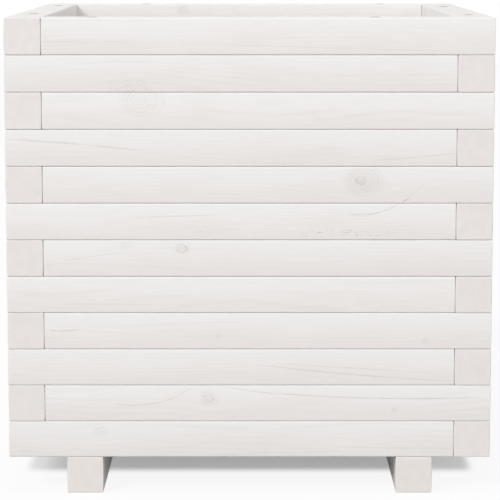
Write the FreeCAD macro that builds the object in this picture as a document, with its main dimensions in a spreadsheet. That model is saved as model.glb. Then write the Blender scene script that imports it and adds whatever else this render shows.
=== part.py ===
import FreeCAD, Part
import os
import Sketcher

# Square planter of stacked wooden beams on two foot rails, with a slatted floor.
# Frame: origin on the ground under the middle of the planter, +Z up, front towards -Y.
# Each course is four beams laid pinwheel fashion. Every beam covers one corner with its
# end grain and butts against the inner face of its neighbour at the other corner, and
# each course is the mirror image of the one below it.

# Driving sizes in millimetres: name, value, what it is.
SIZES = (
    ("overall_width", 395.0, "outside, from left to right"),
    ("overall_depth", 395.0, "outside, from front to back"),
    ("beam_width", 30.0, "wall thickness, across a wall beam"),
    ("beam_height", 30.0, "height of one course"),
    ("edge_round", 0.8, "radius of the eased edges of all timber"),
    ("foot_width", 30.0, "across a foot rail"),
    ("foot_height", 30.0, "ground to underside of the walls"),
    ("foot_inset", 47.5, "outside of a side wall to the outside of its foot rail"),
    ("slat_thickness", 15.0, "thickness of a floor slat"),
    ("slat_gap", 5.0, "drainage gap beside each floor slat"),
    ("slat_end_gap", 2.0, "gap between a slat's end and the side wall"),
    ("screw_butt", 40.0, "butt end of a beam to its nearer screw"),
    ("screw_stagger", 26.0, "screws of one course to those of the next, along the wall"),
    ("screw_bite", 20.0, "how far a wall or foot screw enters the next timber"),
    ("shank_diameter", 4.0, "shank of a wall or foot screw"),
    ("head_diameter", 8.0, "head of a wall or foot screw"),
    ("foot_screw_spread", 15.0, "between the two screws at one end of a foot rail"),
    ("slat_screw_bite", 15.0, "how far a slat screw enters the foot rail"),
    ("slat_shank_diameter", 3.5, "shank of a slat screw"),
    ("slat_head_diameter", 7.0, "head of a slat screw"),
    ("head_sink", 0.5, "screw head below the face of the timber"),
    ("tip_length", 5.0, "pointed end of a screw"),
    ("recess_span", 4.0, "tip to tip of the cross recess in a screw head"),
    ("recess_width", 0.9, "width of each slot of the cross recess"),
    ("recess_depth", 1.2, "depth of the cross recess"),
    ("dowel_diameter", 8.0, "corner dowel"),
    ("dowel_length", 20.0, "corner dowel, half of it in each of two courses"),
    ("dowel_bevel", 1.0, "bevel round each end of a dowel"),
    ("shank_play", 0.25, "clearance round a shank in the timber it passes through"),
    ("thread_play", 0.1, "clearance round a shank in the timber it bites into"),
    ("head_play", 0.1, "clearance between a head and its countersink"),
    ("dowel_play", 0.1, "clearance round a dowel"),
    ("end_play", 0.5, "clearance past the end of a screw or dowel"),
)
COURSE_COUNT = 12
SLAT_COUNT = 5
COUNTERSINK_DEGREES = 90.0
QUARTER_TURN_DEGREES = 90.0

# Each wall: the axis that its beams run along, and the side of the planter it stands on.
WALLS = {
    "front": ("x", -1),
    "right": ("y", 1),
    "back": ("x", 1),
    "left": ("y", -1),
}

# Formulas on the sheet, shared by the timber and by the fasteners that fit it.
OUTSIDE = {"x": "size.overall_width", "y": "size.overall_depth"}
BEAM_LENGTH = {axis: f"({outside} - size.beam_width)" for axis, outside in OUTSIDE.items()}
INSIDE = {axis: f"({outside} - 2 * size.beam_width)" for axis, outside in OUTSIDE.items()}
FOOT_CENTRE = "(size.overall_width / 2 - size.foot_inset - size.foot_width / 2)"
SLAT_WIDTH = f"(({INSIDE['y']} - {SLAT_COUNT + 1} * size.slat_gap) / {SLAT_COUNT})"
SLAT_LENGTH = f"({INSIDE['x']} - 2 * size.slat_end_gap)"
DOWEL_DEPTH = "(size.dowel_length / 2 + size.end_play)"
DOWEL_HOLE = "(size.dowel_diameter + 2 * size.dowel_play)"


class Screw:
    """One kind of countersunk wood screw and the holes it needs, as formulas on the sheet."""

    def __init__(self, shank, head, through, bite):
        self.shank = shank
        self.head = head
        self.length = f"({through} + {bite} - size.head_sink)"
        self.clear_hole = f"({shank} + 2 * size.shank_play)"
        self.sunk_hole = f"({head} + 2 * size.head_sink + 2 * size.head_play)"
        self.pilot_hole = f"({shank} + 2 * size.thread_play)"
        self.pilot_depth = f"({bite} + size.end_play)"


WALL_SCREW = Screw("size.shank_diameter", "size.head_diameter",
                   "size.beam_height", "size.screw_bite")
FOOT_SCREW = Screw("size.shank_diameter", "size.head_diameter",
                   "size.foot_height", "size.screw_bite")
SLAT_SCREW = Screw("size.slat_shank_diameter", "size.slat_head_diameter",
                   "size.slat_thickness", "size.slat_screw_bite")


class Timber:
    """A planed length of timber with eased edges, along +X from x = 0 in its own frame."""

    def __init__(self, doc, label, length, width, height):
        self.body = doc.addObject("PartDesign::Body", label)
        self.body.Label = label
        self.own_screws = None
        section = self.sketch("section", "YZ_Plane")
        draw_section(section, width, height)
        stock = self.body.newObject("PartDesign::Pad", "stock")
        stock.Profile = section
        stock.setExpression("Length", length)
        eased = self.body.newObject("PartDesign::Fillet", "eased_edges")
        eased.Base = (stock, [""])
        eased.UseAllEdges = True
        eased.setExpression("Radius", "size.edge_round")
        self.body.Tip = eased

    def sketch(self, name, role, height="0"):
        """A sketch on one of the body's origin planes, lifted along the plane's normal."""
        planes = self.body.Origin.OriginFeatures
        plane = next(item for item in planes if item.Role == role)
        sketch = self.body.newObject("Sketcher::SketchObject", name)
        sketch.AttachmentSupport = [(plane, "")]
        sketch.MapMode = "FlatFace"
        sketch.setExpression("AttachmentOffset.Base.z", height)
        return sketch

    def drill_blind(self, name, places, face, diameter, depth, upward=False, aside="0"):
        """Blind holes from the face at that height, downward or upward into the timber."""
        marks = self.sketch(f"{name}_marks", "XY_Plane", face)
        draw_holes(marks, places, aside, diameter)
        pocket = self.body.newObject("PartDesign::Pocket", name)
        pocket.Profile = marks
        pocket.Reversed = upward
        pocket.setExpression("Length", depth)
        self.body.Tip = pocket

    def mark_own_screws(self, screw, places, face, upward=False):
        """Marks where the timber's own screws go in. They are drilled after a recompute."""
        marks = self.sketch("own_screw_marks", "XY_Plane", face)
        draw_holes(marks, places, "0", screw.clear_hole)
        self.own_screws = (screw, marks, upward)

    def drill_own_screws(self):
        """Countersunk clearance holes right through the timber, at its marks."""
        if self.own_screws is None:
            return
        screw, marks, upward = self.own_screws
        hole = self.body.newObject("PartDesign::Hole", "own_screws")
        hole.Profile = marks
        hole.Reversed = upward
        hole.ThreadType = "None"
        hole.DepthType = "ThroughAll"
        hole.HoleCutType = "Countersink"
        hole.HoleCutCustomValues = True
        hole.HoleCutCountersinkAngle = COUNTERSINK_DEGREES
        hole.setExpression("Diameter", screw.clear_hole)
        hole.setExpression("HoleCutDiameter", screw.sunk_hole)
        self.body.Tip = hole

    def place(self, x, y, z, quarter_turns=0):
        """Moves the timber by formulas and turns it about Z."""
        turn = FreeCAD.Rotation(FreeCAD.Vector(0, 0, 1), quarter_turns * QUARTER_TURN_DEGREES)
        self.body.Placement = FreeCAD.Placement(FreeCAD.Vector(), turn)
        for axis, formula in zip("xyz", (x, y, z)):
            self.body.setExpression(f"Placement.Base.{axis}", formula)

    def spot(self, x, z, upside_down=False):
        """The placement of a fastener at x and z of this timber, pointing down or up."""
        turn = FreeCAD.Rotation(FreeCAD.Vector(1, 0, 0), 2 * QUARTER_TURN_DEGREES * upside_down)
        return self.body.Placement.multiply(FreeCAD.Placement(FreeCAD.Vector(x, 0, z), turn))


def bind(sketch, name, constraint, formula):
    """Adds one named dimension to a sketch and ties it to the sheet."""
    constraint.Name = name
    sketch.addConstraint(constraint)
    sketch.setExpression(f"Constraints.{name}", formula)


def draw_section(sketch, width, height):
    """A rectangle that stands on the sketch's own x axis, centred on its y axis."""
    corners = ((-1, 0), (1, 0), (1, 1), (-1, 1))
    points = [FreeCAD.Vector(u, v, 0) for u, v in corners]
    for start, end in zip(points, points[1:] + points[:1]):
        sketch.addGeometry(Part.LineSegment(start, end), False)
    for edge, direction in enumerate(("Horizontal", "Vertical", "Horizontal", "Vertical")):
        following = (edge + 1) % len(points)
        sketch.addConstraint(Sketcher.Constraint("Coincident", edge, 2, following, 1))
        sketch.addConstraint(Sketcher.Constraint(direction, edge))
    sketch.addConstraint(Sketcher.Constraint("Symmetric", 0, 1, 0, 2, -1, 1))
    bind(sketch, "width", Sketcher.Constraint("DistanceX", 0, 1, 0, 2, 1.0), width)
    bind(sketch, "height", Sketcher.Constraint("DistanceY", 1, 1, 1, 2, 1.0), height)


def draw_holes(sketch, places, aside, diameter):
    """Equal circles at distances along the sketch's x axis, all moved aside in y."""
    for index, place in enumerate(places):
        middle = FreeCAD.Vector(index + 1, 0, 0)
        sketch.addGeometry(Part.Circle(middle, FreeCAD.Vector(0, 0, 1), 1.0), False)
        along = Sketcher.Constraint("DistanceX", -1, 1, index, 3, 1.0)
        bind(sketch, f"along_{index}", along, place)
        across = Sketcher.Constraint("DistanceY", -1, 1, index, 3, 1.0)
        bind(sketch, f"across_{index}", across, aside)
        bind(sketch, f"bore_{index}", Sketcher.Constraint("Diameter", index, 1.0), diameter)


def own_screw_places(axis):
    """Distances of a wall beam's own two screws from its covering end."""
    near = "(size.beam_width + size.screw_butt + size.screw_stagger)"
    far = f"({BEAM_LENGTH[axis]} - size.screw_butt)"
    return near, far


def upper_screw_places(axis):
    """Where the two screws of the course above enter a wall beam, from its covering end."""
    near = "(size.beam_width + size.screw_butt)"
    far = f"({BEAM_LENGTH[axis]} - size.screw_butt - size.screw_stagger)"
    return near, far


def foot_places(middle):
    """Where the two foot rails cross a timber that runs from left to right."""
    return f"({middle} - {FOOT_CENTRE})", f"({middle} + {FOOT_CENTRE})"


def foot_screw_places():
    """Distances of a foot rail's four own screws from its front end."""
    near = ("(size.beam_width / 2 - size.foot_screw_spread / 2)",
            "(size.beam_width / 2 + size.foot_screw_spread / 2)")
    far = tuple(f"({OUTSIDE['y']} - {place})" for place in near)
    return near + far


def slat_middle(index):
    """Distance of one floor slat's middle line from the front of the planter."""
    step = f"({SLAT_WIDTH} + size.slat_gap)"
    return f"(size.beam_width + size.slat_gap + {SLAT_WIDTH} / 2 + {index} * {step})"


def make_sheet(doc):
    """The spreadsheet of driving sizes, one to a row."""
    sheet = doc.addObject("Spreadsheet::Sheet", "size")
    for row, (alias, value, meaning) in enumerate(SIZES, start=1):
        sheet.set(f"A{row}", alias)
        sheet.set(f"B{row}", str(value))
        sheet.set(f"C{row}", meaning)
        sheet.setAlias(f"B{row}", alias)
    doc.recompute()
    return sheet


def make_wall_beam(doc, wall, course):
    """One wall beam, with holes for its own screws, those from above, and the dowels."""
    axis, _ = WALLS[wall]
    beam = Timber(doc, f"{wall}_beam_{course:02d}", BEAM_LENGTH[axis],
                  "size.beam_width", "size.beam_height")
    corner = ("size.beam_width / 2",)
    if course < COURSE_COUNT:
        beam.drill_blind("upper_screws", upper_screw_places(axis), "size.beam_height",
                         WALL_SCREW.pilot_hole, WALL_SCREW.pilot_depth)
        beam.drill_blind("upper_dowel", corner, "size.beam_height", DOWEL_HOLE, DOWEL_DEPTH)
    if course > 1:
        beam.drill_blind("lower_dowel", corner, "0", DOWEL_HOLE, DOWEL_DEPTH, upward=True)
        beam.mark_own_screws(WALL_SCREW, own_screw_places(axis), "size.beam_height")
    elif axis == "x":
        drill_foot_pilots(beam)
    place_wall_beam(beam, wall, course)
    return beam


def drill_foot_pilots(beam):
    """Pilot holes for the foot screws, in the front and back beams of the bottom course."""
    for name, sign in (("foot_pilots_a", "-"), ("foot_pilots_b", "")):
        beam.drill_blind(name, foot_places("size.overall_width / 2"), "0",
                         FOOT_SCREW.pilot_hole, FOOT_SCREW.pilot_depth, upward=True,
                         aside=f"{sign}size.foot_screw_spread / 2")


def place_wall_beam(beam, wall, course):
    """Puts a beam's covering end at the corner that it covers in this course."""
    axis, side = WALLS[wall]
    handing = 1 if course % 2 == 0 else -1
    level = f"size.foot_height + {course - 1} * size.beam_height"
    if axis == "x":
        lead = -side * handing
        line = f"{side} * ({OUTSIDE['y']} - size.beam_width) / 2"
        beam.place(f"{lead} * {OUTSIDE['x']} / 2", line, level, 1 + lead)
    else:
        lead = side * handing
        line = f"{side} * ({OUTSIDE['x']} - size.beam_width) / 2"
        beam.place(line, f"{lead} * {OUTSIDE['y']} / 2", level, -lead)


def make_foot(doc, label, side):
    """One foot rail, from the front face of the walls to the back face."""
    foot = Timber(doc, label, OUTSIDE["y"], "size.foot_width", "size.foot_height")
    slat_places = tuple(slat_middle(index) for index in range(SLAT_COUNT))
    foot.drill_blind("slat_pilots", slat_places, "size.foot_height",
                     SLAT_SCREW.pilot_hole, SLAT_SCREW.pilot_depth)
    foot.mark_own_screws(FOOT_SCREW, foot_screw_places(), "0", upward=True)
    foot.place(f"{side} * {FOOT_CENTRE}", f"-{OUTSIDE['y']} / 2", "0", 1)
    return foot


def make_slat(doc, index):
    """One floor slat, resting on both foot rails inside the walls."""
    slat = Timber(doc, f"floor_slat_{index + 1}", SLAT_LENGTH, SLAT_WIDTH,
                  "size.slat_thickness")
    slat.mark_own_screws(SLAT_SCREW, foot_places(f"{SLAT_LENGTH} / 2"), "size.slat_thickness")
    slat.place(f"-{SLAT_LENGTH} / 2", f"{slat_middle(index)} - {OUTSIDE['y']} / 2",
               "size.foot_height")
    return slat


def measure(sheet, formula):
    """The number that a formula on the sheet comes to."""
    return float(sheet.evalExpression(formula))


def screw_solid(sheet, screw):
    """A countersunk wood screw pointing down, with the middle of its head at the origin."""
    head = measure(sheet, f"{screw.head} / 2")
    shank = measure(sheet, f"{screw.shank} / 2")
    length = measure(sheet, screw.length)
    tip = length - measure(sheet, "size.tip_length")
    outline = ((0, 0), (head, 0), (shank, shank - head), (shank, -tip), (0, -length))
    corners = [FreeCAD.Vector(radius, 0, level) for radius, level in outline]
    half = Part.Face(Part.makePolygon(corners + corners[:1]))
    blank = half.revolve(FreeCAD.Vector(), FreeCAD.Vector(0, 0, 1), 4 * QUARTER_TURN_DEGREES)
    return blank.cut(recess_solid(sheet)).Solids[0]


def recess_solid(sheet):
    """The cross recess for the driver, sunk into the head from above."""
    span = measure(sheet, "size.recess_span")
    width = measure(sheet, "size.recess_width")
    depth = measure(sheet, "size.recess_depth")
    slot = Part.makeBox(span, width, 2 * depth, FreeCAD.Vector(-span / 2, -width / 2, -depth))
    crossed = slot.copy()
    crossed.rotate(FreeCAD.Vector(), FreeCAD.Vector(0, 0, 1), QUARTER_TURN_DEGREES)
    return slot.fuse(crossed)


def dowel_solid(sheet):
    """A corner dowel standing on +Z with its middle at the origin."""
    radius = measure(sheet, "size.dowel_diameter / 2")
    length = measure(sheet, "size.dowel_length")
    rod = Part.makeCylinder(radius, length, FreeCAD.Vector(0, 0, -length / 2))
    rims = [edge for edge in rod.Edges if isinstance(edge.Curve, Part.Circle)]
    return rod.makeChamfer(measure(sheet, "size.dowel_bevel"), rims)


def make_group(doc, label, solid, placements):
    """One node that holds the same fastener at many places, as separate solids."""
    copies = []
    for placement in placements:
        piece = solid.copy()
        piece.Placement = placement
        copies.append(piece)
    group = doc.addObject("Part::Feature", label)
    group.Label = label
    group.Shape = Part.Compound(copies)
    group.Placement = FreeCAD.Placement()
    return group


def make_wall_screws(doc, sheet, beams):
    """Every wall screw, in the holes of the beam that its head sits in."""
    head_level = measure(sheet, "size.beam_height - size.head_sink")
    spots = [beam.spot(measure(sheet, place), head_level)
             for (wall, course), beam in beams.items() if course > 1
             for place in own_screw_places(WALLS[wall][0])]
    return make_group(doc, "wall_screws", screw_solid(sheet, WALL_SCREW), spots)


def make_corner_dowels(doc, sheet, beams):
    """Every corner dowel, on the joint under a beam's covering end."""
    corner = measure(sheet, "size.beam_width / 2")
    spots = [beam.spot(corner, 0) for (_, course), beam in beams.items() if course > 1]
    return make_group(doc, "corner_dowels", dowel_solid(sheet), spots)


def make_foot_screws(doc, sheet, feet):
    """Every foot screw, driven up through a foot rail into the bottom course."""
    head_level = measure(sheet, "size.head_sink")
    spots = [foot.spot(measure(sheet, place), head_level, upside_down=True)
             for foot in feet for place in foot_screw_places()]
    return make_group(doc, "foot_screws", screw_solid(sheet, FOOT_SCREW), spots)


def make_slat_screws(doc, sheet, slats):
    """Every slat screw, driven down through a floor slat into a foot rail."""
    head_level = measure(sheet, "size.slat_thickness - size.head_sink")
    spots = [slat.spot(measure(sheet, place), head_level)
             for slat in slats for place in foot_places(f"{SLAT_LENGTH} / 2")]
    return make_group(doc, "slat_screws", screw_solid(sheet, SLAT_SCREW), spots)


def check_document(doc, pieces):
    """Stops the build if any feature failed or any piece has no sound solid."""
    for item in doc.Objects:
        if {"Invalid", "Error"} & set(item.State):
            raise RuntimeError(f"{item.Name} failed: {item.State}")
    for piece in pieces:
        shape = piece.Shape
        if shape.isNull() or not shape.isValid() or not shape.Solids:
            raise RuntimeError(f"{piece.Label} has no valid solid")


def write_parts(pieces):
    """One STEP file for each piece, named by its label."""
    os.makedirs("parts", exist_ok=True)
    for piece in pieces:
        piece.Shape.exportStep(f"parts/{piece.Label}.step")


def main():
    doc = FreeCAD.newDocument("planter")
    sheet = make_sheet(doc)
    beams = {(wall, course): make_wall_beam(doc, wall, course)
             for course in range(1, COURSE_COUNT + 1) for wall in WALLS}
    feet = [make_foot(doc, "left_foot", -1), make_foot(doc, "right_foot", 1)]
    slats = [make_slat(doc, index) for index in range(SLAT_COUNT)]
    timbers = list(beams.values()) + feet + slats
    doc.recompute()
    for timber in timbers:
        timber.drill_own_screws()
    doc.recompute()
    pieces = [timber.body for timber in timbers] + [
        make_wall_screws(doc, sheet, beams),
        make_corner_dowels(doc, sheet, beams),
        make_foot_screws(doc, sheet, feet),
        make_slat_screws(doc, sheet, slats),
    ]
    doc.recompute()
    check_document(doc, pieces)
    write_parts(pieces)


main()
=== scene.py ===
import math
import random

import bpy
from bpy.props import FloatProperty, FloatVectorProperty, IntProperty, PointerProperty
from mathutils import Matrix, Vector


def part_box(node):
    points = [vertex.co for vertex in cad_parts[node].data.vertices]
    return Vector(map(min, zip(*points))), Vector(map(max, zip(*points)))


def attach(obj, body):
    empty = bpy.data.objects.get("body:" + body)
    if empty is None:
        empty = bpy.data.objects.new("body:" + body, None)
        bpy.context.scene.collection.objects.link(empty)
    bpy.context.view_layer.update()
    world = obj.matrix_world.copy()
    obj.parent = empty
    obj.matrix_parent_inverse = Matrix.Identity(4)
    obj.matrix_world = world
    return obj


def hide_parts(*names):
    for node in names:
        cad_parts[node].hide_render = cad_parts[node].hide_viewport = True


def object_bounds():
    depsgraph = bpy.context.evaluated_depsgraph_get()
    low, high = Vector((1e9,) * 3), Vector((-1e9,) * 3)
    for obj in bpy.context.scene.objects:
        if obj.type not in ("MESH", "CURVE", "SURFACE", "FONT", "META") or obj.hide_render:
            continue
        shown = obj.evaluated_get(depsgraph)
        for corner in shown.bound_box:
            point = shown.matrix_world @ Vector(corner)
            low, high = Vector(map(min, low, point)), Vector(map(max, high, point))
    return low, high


bl_info = {
    "name": "Stacked beam planter",
    "version": (1, 0, 0),
    "blender": (4, 5, 0),
    "location": "3D View > Sidebar > Planter",
    "description": "Dresses the planter in whitewashed pine, with its fasteners and a studio",
    "category": "Object",
}

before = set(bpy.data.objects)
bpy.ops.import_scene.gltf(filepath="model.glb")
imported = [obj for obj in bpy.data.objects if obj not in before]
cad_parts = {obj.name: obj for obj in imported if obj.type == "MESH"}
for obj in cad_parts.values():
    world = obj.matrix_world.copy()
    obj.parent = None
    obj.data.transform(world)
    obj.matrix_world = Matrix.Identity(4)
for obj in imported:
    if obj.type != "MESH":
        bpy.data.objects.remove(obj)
CAD_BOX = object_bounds()

MM = 0.001
BODY = "root"
QUARTER_TURN = math.pi / 2
UP = 1.0
DOWN = -1.0

# How the planter is put together. Courses are counted from the ground.
COURSE_COUNT = 12
SLAT_COUNT = 5
SLAT_NAMES = [f"floor_slat_{number}" for number in range(1, SLAT_COUNT + 1)]
FOOT_NAMES = ("left_foot", "right_foot")
WALLS = {
    "front": ("x", -1),
    "right": ("y", 1),
    "back": ("x", 1),
    "left": ("y", -1),
}

# A board's mesh is made in cells, smaller ones across the board than along it.
CELL = 5.0 * MM
CROSS_CELL = 0.75 * CELL
EDGE_CELLS = 3
EDGE_ZONE_IN_RADII = 1.5
SHARP_ANGLE = math.radians(40.0)
BORE_SIDES = 28
CUT_OVERRUN = 0.2

# Space round the fasteners in their holes.
SHANK_CLEARANCE = 0.25 * MM
BITE_CLEARANCE = 0.1 * MM
DOWEL_END_CLEARANCE = 0.5 * MM

# A screw's cross slot, its tip and its thread.
SCREW_SIDES = 20
SLOT_LENGTH = 4.2 * MM
SLOT_WIDTH = 1.0 * MM
SLOT_HEIGHT = 2.4 * MM
TIP_RADIUS = 0.05 * MM
TIP_IN_DIAMETERS = 1.25
TIP_THREAD_SHARE = 0.6
SMOOTH_SHARE = 0.36
CORE_SHARE = 0.72
THREAD_START = 1.0 * MM
THREAD_STEPS = 9
RIDGE_SIDES = 3
RIDGE_SHARE = 0.28
SPIN_SEED = 3

# A dowel has a flute at every third point of its rim and a bevel at each end.
DOWEL_SIDES = 36
FLUTE_EVERY = 3.0
FLUTE_SHARE = 0.93
BEVEL_SHARE = 1 / 8

# How often each pattern changes in a metre, along a board and across it or in every direction.
WAVES = (9.0, 55.0, 55.0)
SWAY = (7.0, 18.0, 18.0)
PATCHES = (9.0, 70.0, 70.0)
CLOUDS = (14.0, 45.0, 45.0)
FIBRES = (45.0, 1100.0, 1100.0)
RAGGED = (60.0, 400.0, 400.0)
FLECKS = (300.0, 1300.0, 1300.0)
MOTTLE = (90.0, 130.0, 130.0)
PORES = (400.0, 800.0, 800.0)
BEECH_FLECKS = (1400.0, 1400.0, 260.0)
WOBBLE = 75.0
LUMPS = 120.0
CRUMBS = 420.0
DULL_PATCHES = 900.0
TOOL_MARKS = 4000.0

# Sizes of the marks in the wood, and depths of the relief.
LEAST_KNOT = 0.1 * MM
SMALL_KNOT = 2.0 * MM
LARGE_KNOT = 15.0 * MM
RING_WANDER = 5.5 * MM
STREAK_WIDTH = 0.42 * MM
SPECK_RISE = 3.2 * MM
SWAY_DEPTH = 9.0 * MM
WOOD_RELIEF = 0.25 * MM
STEEL_RELIEF = 0.05 * MM
BEECH_RELIEF = 0.1 * MM
# A knot in shares of its radius: where it bends the grain and how far, how oval it is, how its
# rings lean, and how many it has when it is small and when it is large.
GRAIN_BEND = (0.28, 0.55)
BEND_DEPTH = 0.78
KNOT_OVAL = (0.9, 1.1)
LEAN_ALONG = 0.2
LEAN_UP = -0.12
RING_COUNTS = (9.0, 27.0)
# How much of the knot colour each mark takes, and the most that they take together.
RING_SHARE = 0.34
HEART_SHARE = 0.55
HALO_SHARE = 0.10
STREAK_SHARE = 0.42
SPECK_SHARE = 0.45
DARKEST = 0.9
# How much the growth rings darken a cut end.
END_RING_SHARE = 0.025

# What is drawn at random for each board, in millimetres.
KNOT_RADII = (2.0, 10.0)
STREAK_HALVES = (20.0, 90.0)
PITH_DISTANCES = (18.0, 60.0)
# A board's number decides its timber, how far its patterns are shifted and its own tone.
SEED_STEP = 1000
FIRST_WALL_BOARD = 1
FIRST_FOOT_BOARD = 51
FIRST_FLOOR_BOARD = 61
BOARD_SHIFT = (0.37, 0.11, 0.23)
LEAST_TONE = 0.988
TONE_SPREAD = 0.02

# Each group of boards tints the wash a little.
WALL_TINT = (1.0, 1.0, 1.0)
FOOT_TINT = (1.0, 0.996, 0.991)
FLOOR_TINT = (0.99, 0.985, 0.975)

# Where the lamps stand and how wide they are, in metres.
KEY_PLACE = (-6.2, -7.2, 7.2)
KEY_WIDTH = 3.6
FILL_PLACE = (0.6, -4.5, 0.3)
FILL_WIDTH = 2.4
CAMERA_ASIDE = 0.4 * MM
FLOOR_REACH = 6.0
FLOOR_WHITE = (0.9, 0.9, 0.9, 1.0)
WHITE = (1.0, 1.0, 1.0, 1.0)
# How far the shade below the planter takes to reach its full strength.
SHADE_RUN = 40.0 * MM


def node_size(node):
    """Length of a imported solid's box along each axis, in metres."""
    low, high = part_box(node)
    return high - low


def node_middle(node):
    """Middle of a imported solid's box."""
    low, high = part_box(node)
    return (low + high) / 2


def display_colour(red, green, blue):
    """A colour that is seen as these display values from 0 to 255, as a render works with it."""
    shares = (level / 255 for level in (red, green, blue))
    return tuple(((share + 0.055) / 1.055) ** 2.4 for share in shares)


# Marks in the wood of the front, where the photograph shows them. All lengths are in
# millimetres, across from the middle of the front and up from the ground.
# A knot: across, up, radius, darkness of its rings and of its heart. A streak: across, up,
# half length, slope, curve per metre, darkness. Specks: across, up, half length, darkness.
FRONT_MARKS = {
    12: {"streaks": ((-133, 370.5, 45, 0.0, 0.0, 0.4), (60, 366, 110, -0.03, 0.0, 0.25))},
    11: {"knots": ((-91, 324.5, 15.5, 0.38, 0.0),),
         "streaks": ((-110, 348, 32, -0.02, 0.0, 0.35), (110, 344, 60, 0.02, 0.0, 0.25))},
    10: {"knots": ((-91, 324.0, 15.5, 0.42, 0.0),)},
    9: {"streaks": ((-140, 288.3, 60, -0.085, -0.3, 0.75), (140, 278.0, 40, 0.09, 0.5, 0.5))},
    8: {"knots": ((88.8, 257.0, 13.5, 0.38, 0.75),),
        "streaks": ((119, 243.2, 12, 0.5, 0.0, 1.0), (134, 251.5, 10, 0.62, 0.0, 0.25))},
    7: {"knots": ((-39.4, 217.0, 1.3, 0.6, 0.9), (-76.8, 218.6, 1.0, 0.5, 0.7)),
        "streaks": ((100, 231.5, 21, 0.19, 9.5, 1.0), (-60, 229.5, 40, 0.03, 0.0, 0.45)),
        "specks": (76, 215.5, 44, 1.0)},
    6: {"knots": ((-55.7, 202.9, 5.4, 0.9, 0.1), (-102, 205.5, 3.0, 0.4, 0.3)),
        "streaks": ((-125, 197, 30, 0.16, 0.8, 0.35),)},
    5: {"streaks": ((-100, 157, 60, -0.01, 0.0, 0.3), (60, 168, 50, 0.0, 0.0, 0.2))},
    4: {"knots": ((142.6, 127.3, 2.8, 0.6, 0.7), (-25.6, 131.4, 1.4, 0.5, 0.5)),
        "streaks": ((-151, 135.3, 15, 0.03, 4.0, 0.85), (-60, 141, 60, 0.04, 0.0, 0.25))},
    3: {"knots": ((-191, 98.5, 1.6, 0.35, 0.15),),
        "streaks": ((85, 99, 85, -0.085, 0.25, 0.65), (90, 104, 70, -0.06, 0.0, 0.4))},
    2: {"knots": ((-34.6, 78.5, 6.2, 0.8, 0.15), (118, 69.6, 2.4, 0.5, 0.6)),
        "streaks": ((90, 79.5, 115, -0.03, 0.35, 0.9), (-78, 75.1, 34, 0.187, 5.5, 0.6))},
    1: {"knots": ((-120.7, 51.0, 5.0, 0.45, 0.2),),
        "streaks": ((130, 37.5, 60, -0.02, 0.0, 0.45), (20, 33.5, 60, 0.03, 0.0, 0.25))},
}
# A knot at the inside of the back wall, high on its top beam.
BACK_MARKS = {
    12: {"knots": ((-63, 384.1, 6.0, 0.6, 0.1),)},
}


class TimberSizes(bpy.types.PropertyGroup):
    """Sizes of the planed boards."""

    edge_round: FloatProperty(
        name="Edge round", description="Radius of the eased edges", default=0.8 * MM,
        min=0.1 * MM, max=3.0 * MM, unit="LENGTH", precision=4)
    end_round: FloatProperty(
        name="End round", description="How far the easing of a butt end runs along the board",
        default=0.45 * MM, min=0.1 * MM, max=3.0 * MM, unit="LENGTH", precision=4)
    crown: FloatProperty(
        name="Crown", description="How much lower a side face is at its edges than at its middle",
        default=0.3 * MM, min=0.0, max=1.0 * MM, unit="LENGTH", precision=4)
    unevenness: FloatProperty(
        name="Unevenness", description="Depth of the shallow waves that the planer leaves",
        default=0.12 * MM, min=0.0, max=0.5 * MM, unit="LENGTH", precision=4)
    joint_gap: FloatProperty(
        name="Joint gap", description="Space between a beam's butt end and the beam it meets",
        default=0.03 * MM, min=0.0, max=2.0 * MM, unit="LENGTH", precision=4)
    course_gap: FloatProperty(
        name="Course gap", description="Space that uneven wood leaves between two courses",
        default=0.12 * MM, min=0.0, max=1.0 * MM, unit="LENGTH", precision=4)
    ring_spacing: FloatProperty(
        name="Ring spacing", description="Distance from one growth ring to the next",
        default=2.6 * MM, min=0.5 * MM, max=10.0 * MM, unit="LENGTH", precision=4)
    seed: IntProperty(
        name="Seed", description="Which boards are drawn from the timber stack", default=7, min=0)


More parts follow.
